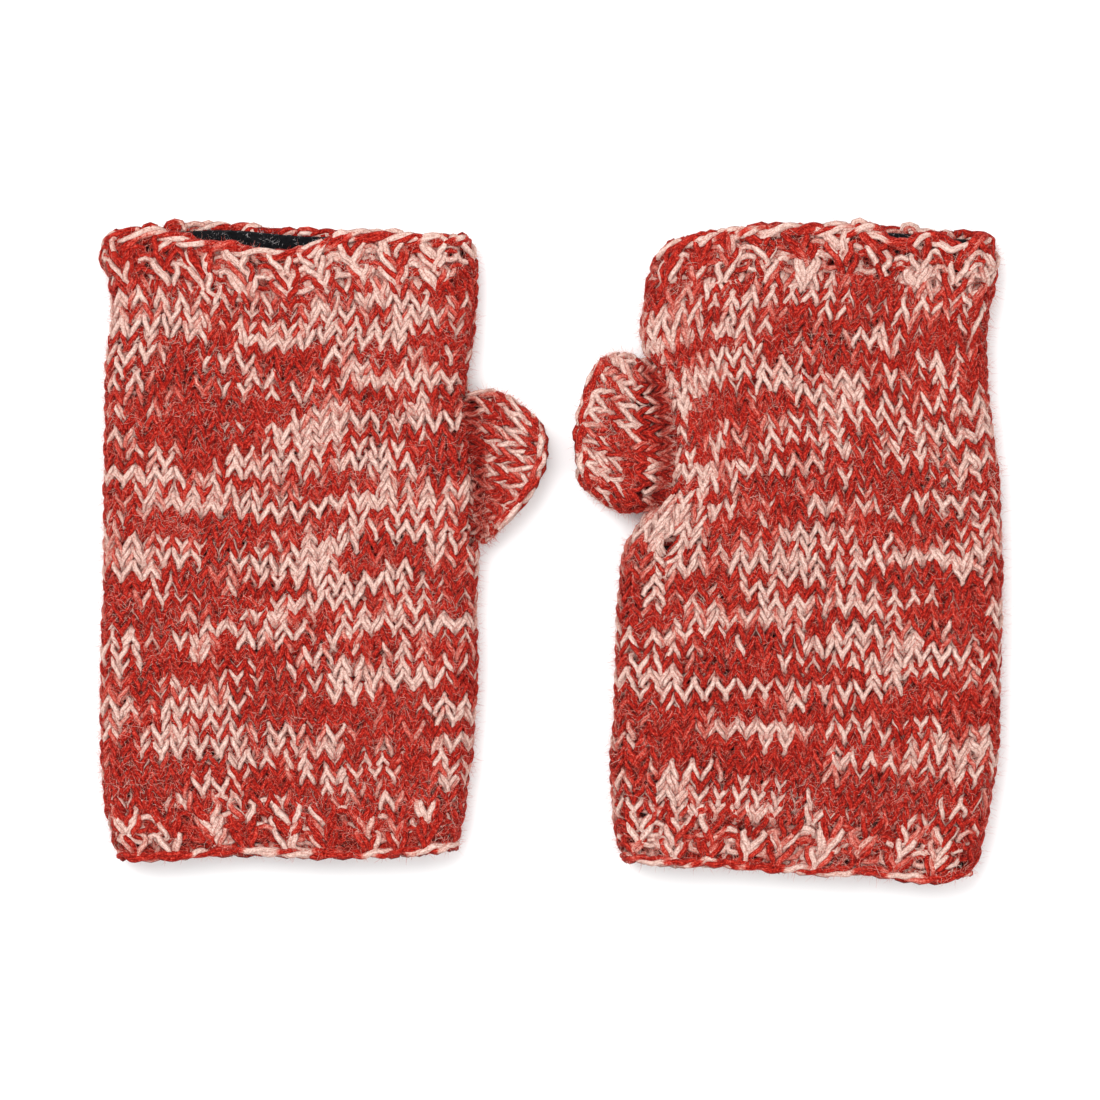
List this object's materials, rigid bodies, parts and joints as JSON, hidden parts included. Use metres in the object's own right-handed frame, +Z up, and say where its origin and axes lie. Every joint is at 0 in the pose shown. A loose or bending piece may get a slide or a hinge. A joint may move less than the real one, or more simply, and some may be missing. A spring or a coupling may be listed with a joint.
{
  "type": "fingerless mittens",
  "caption": "Pair of hand-knitted fingerless mittens laid flat, with short thumb tubes and a black fleece lining; each thumb splays and lifts",
  "frame": {"origin": "midway between the two mittens, on the surface they lie on", "axes": "+X from the left mitten to the right one, +Y from the wrist edge to the finger edge, +Z up from the surface"},
  "size_m": [0.2536, 0.1844, 0.0176],
  "materials": {
    "wool": "hand-knitted red and pale pink marled wool, fuzzy",
    "wool_edge": "bound-off and cast-on edge of the same wool",
    "fleece": "black polyester fleece, brushed",
    "thread": "black sewing thread"
  },
  "bodies": {
    "left_hand": {"left_hand_knit": "wool", "left_finger_rib": "wool", "left_wrist_rib": "wool", "left_finger_bind_off": "wool_edge", "left_wrist_cast_on": "wool_edge", "left_fleece_lining": "fleece", "left_lining_seam": "fleece", "left_finger_hem_stitch": "thread", "left_wrist_hem_stitch": "thread"},
    "left_thumb_base": {"left_thumb_root": "wool"},
    "left_thumb": {"left_thumb_knit": "wool", "left_thumb_bind_off": "wool_edge"},
    "right_hand": {"right_hand_knit": "wool", "right_finger_rib": "wool", "right_wrist_rib": "wool", "right_finger_bind_off": "wool_edge", "right_wrist_cast_on": "wool_edge", "right_fleece_lining": "fleece", "right_lining_seam": "fleece", "right_finger_hem_stitch": "thread", "right_wrist_hem_stitch": "thread"},
    "right_thumb_base": {"right_thumb_root": "wool"},
    "right_thumb": {"right_thumb_knit": "wool", "right_thumb_bind_off": "wool_edge"}
  },
  "joints": [
    {"name": "mittens_apart", "type": "slide", "parent": "left_hand", "child": "right_hand", "axis": [1, 0, 0], "range_m": [0, 0.1]},
    {"name": "left_thumb_splay", "type": "hinge", "parent": "left_hand", "child": "left_thumb_base", "pos_m": [-0.02256, 0.02333, 0.008], "axis": [0, 0, 1], "range_deg": [-11, 11], "stiffness_Nm_per_rad": 0.004, "deforming": ["left_thumb_root"]},
    {"name": "left_thumb_lift", "type": "hinge", "parent": "left_thumb_base", "child": "left_thumb", "pos_m": [-0.02256, 0.02333, 0.0125], "axis": [0, -1, 0], "range_deg": [0, 30], "stiffness_Nm_per_rad": 0.004},
    {"name": "right_thumb_splay", "type": "hinge", "parent": "right_hand", "child": "right_thumb_base", "pos_m": [0.02724, 0.03233, 0.008], "axis": [0, 0, -1], "range_deg": [-11, 11], "stiffness_Nm_per_rad": 0.004, "deforming": ["right_thumb_root"]},
    {"name": "right_thumb_lift", "type": "hinge", "parent": "right_thumb_base", "child": "right_thumb", "pos_m": [0.02724, 0.03233, 0.0125], "axis": [0, 1, 0], "range_deg": [0, 30], "stiffness_Nm_per_rad": 0.004}
  ]
}
